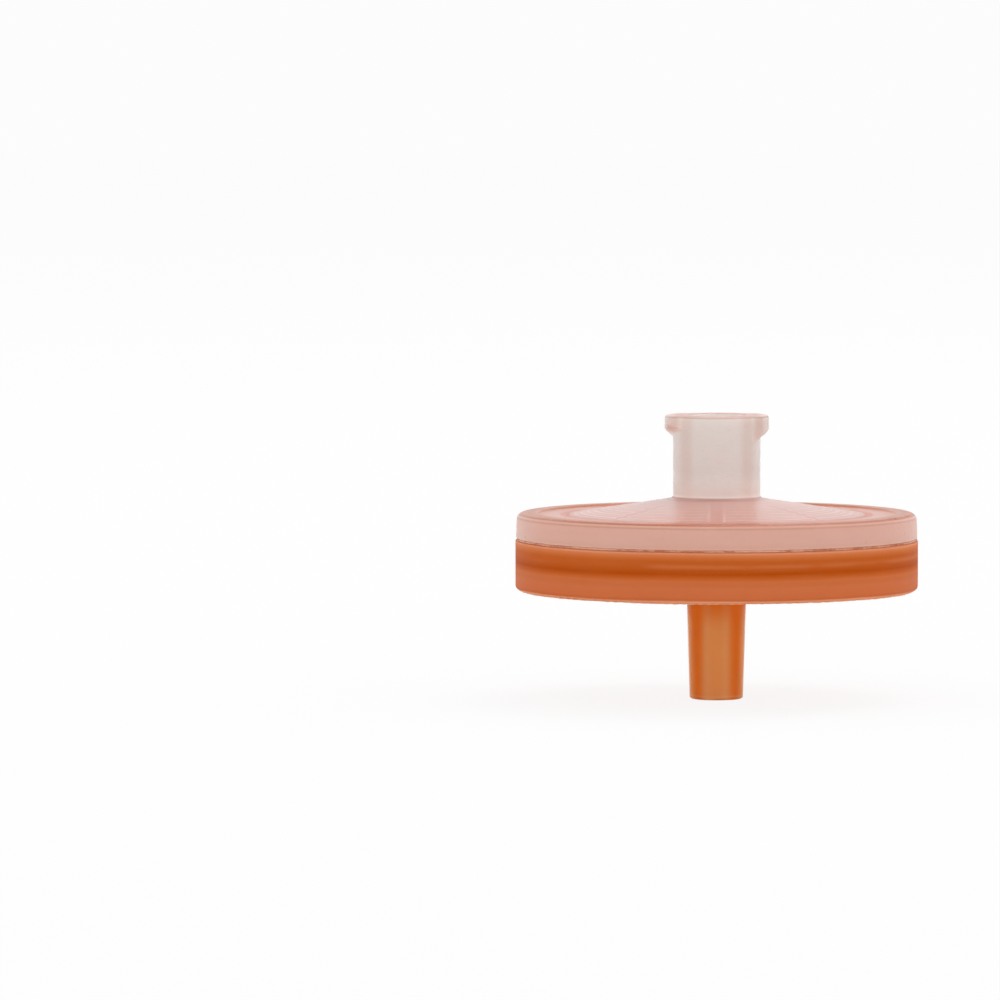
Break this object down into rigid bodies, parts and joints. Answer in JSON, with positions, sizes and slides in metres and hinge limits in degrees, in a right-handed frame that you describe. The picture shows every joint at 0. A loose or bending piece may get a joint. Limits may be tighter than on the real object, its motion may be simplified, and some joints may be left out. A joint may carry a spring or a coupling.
{
  "type": "syringe filter",
  "caption": "Disc filter unit with a female luer lock inlet on top, a male luer slip outlet tip below, and a membrane clamped inside a two-part translucent housing.",
  "frame": {"origin": "centre of the outlet tip's end face", "axes": "+Z along the flow axis from the outlet tip to the inlet hub, +X through the middle of one luer lug, -Y the front"},
  "size_m": [0.0298, 0.0298, 0.0211],
  "materials": {
    "natural_polypropylene": "translucent natural polypropylene, satin moulded surface, tinted pink by the orange half behind it",
    "membrane": "matt porous white membrane in orange-tinted light",
    "orange_polypropylene": "translucent orange polypropylene, satin moulded surface"
  },
  "bodies": {
    "root": {"inlet_housing": "natural_polypropylene", "filter_membrane": "membrane", "outlet_housing": "orange_polypropylene"}
  },
  "joints": []
}
